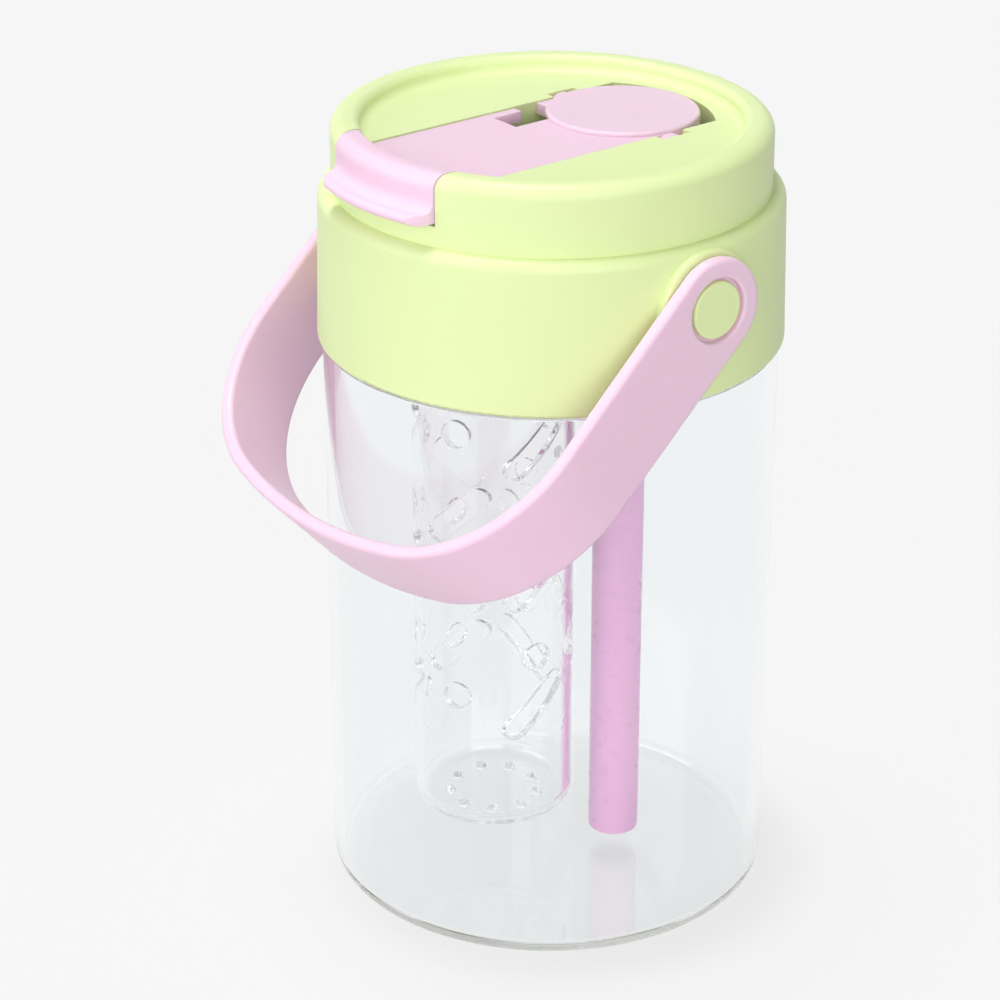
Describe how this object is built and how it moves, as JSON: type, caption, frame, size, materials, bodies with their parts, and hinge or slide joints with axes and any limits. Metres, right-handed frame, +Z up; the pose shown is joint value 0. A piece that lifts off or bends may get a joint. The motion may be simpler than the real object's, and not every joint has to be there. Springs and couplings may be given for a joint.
{
  "type": "fruit infuser water bottle",
  "caption": "Clear wide-mouth water bottle with a perforated fruit tube, straw, screw lid, flip-up drinking spout and a swinging carry handle.",
  "frame": {"origin": "centre of the flat base", "axes": "+Z up along the bottle, -Y towards the thumb lip and the leaning handle, +X towards the right pin"},
  "size_m": [0.107, 0.1159, 0.1758],
  "materials": {
    "clear_plastic": "clear, glossy",
    "lime_plastic": "satin",
    "pink_plastic": "satin",
    "lilac_plastic": "satin",
    "white_plastic": "satin",
    "silicone": "soft, milky"
  },
  "bodies": {
    "bottle": {"bottle_body": "clear_plastic"},
    "gasket": {"lid_gasket": "silicone"},
    "lid": {"lid_shell": "lime_plastic", "inner_lid": "white_plastic", "handle_pin_right": "lime_plastic", "handle_pin_left": "lime_plastic", "valve_seal": "silicone", "straw": "lilac_plastic", "straw_grommet": "silicone", "vent_valve": "silicone", "infuser_o_ring": "silicone"},
    "handle": {"carry_handle": "pink_plastic"},
    "lever": {"spout_lever": "pink_plastic", "lever_cap": "pink_plastic", "drinking_spout": "silicone"},
    "infuser": {"infuser_tube": "clear_plastic"}
  },
  "joints": [
    {"name": "lid_lift", "type": "slide", "parent": "bottle", "child": "gasket", "axis": [0, 0, 1], "range_m": [0, 0.01]},
    {"name": "lid_turn", "type": "hinge", "parent": "gasket", "child": "lid", "pos_m": [0, 0, 0.155], "axis": [0, 0, 1], "range_deg": [0, 450]},
    {"name": "handle_swing", "type": "hinge", "parent": "lid", "child": "handle", "pos_m": [0, 0, 0.1483], "axis": [-1, 0, 0], "range_deg": [0, 266]},
    {"name": "spout_flip", "type": "hinge", "parent": "lid", "child": "lever", "pos_m": [0, 0.0177, 0.1685], "axis": [-1, 0, 0], "range_deg": [0, 90]},
    {"name": "infuser_pull", "type": "slide", "parent": "lid", "child": "infuser", "axis": [0, 0, -1], "range_m": [0, 0.012]}
  ],
  "couplings": [
    {"joint": "lid_lift", "follows": "lid_turn", "m_per_rad": 0.0012732}
  ]
}
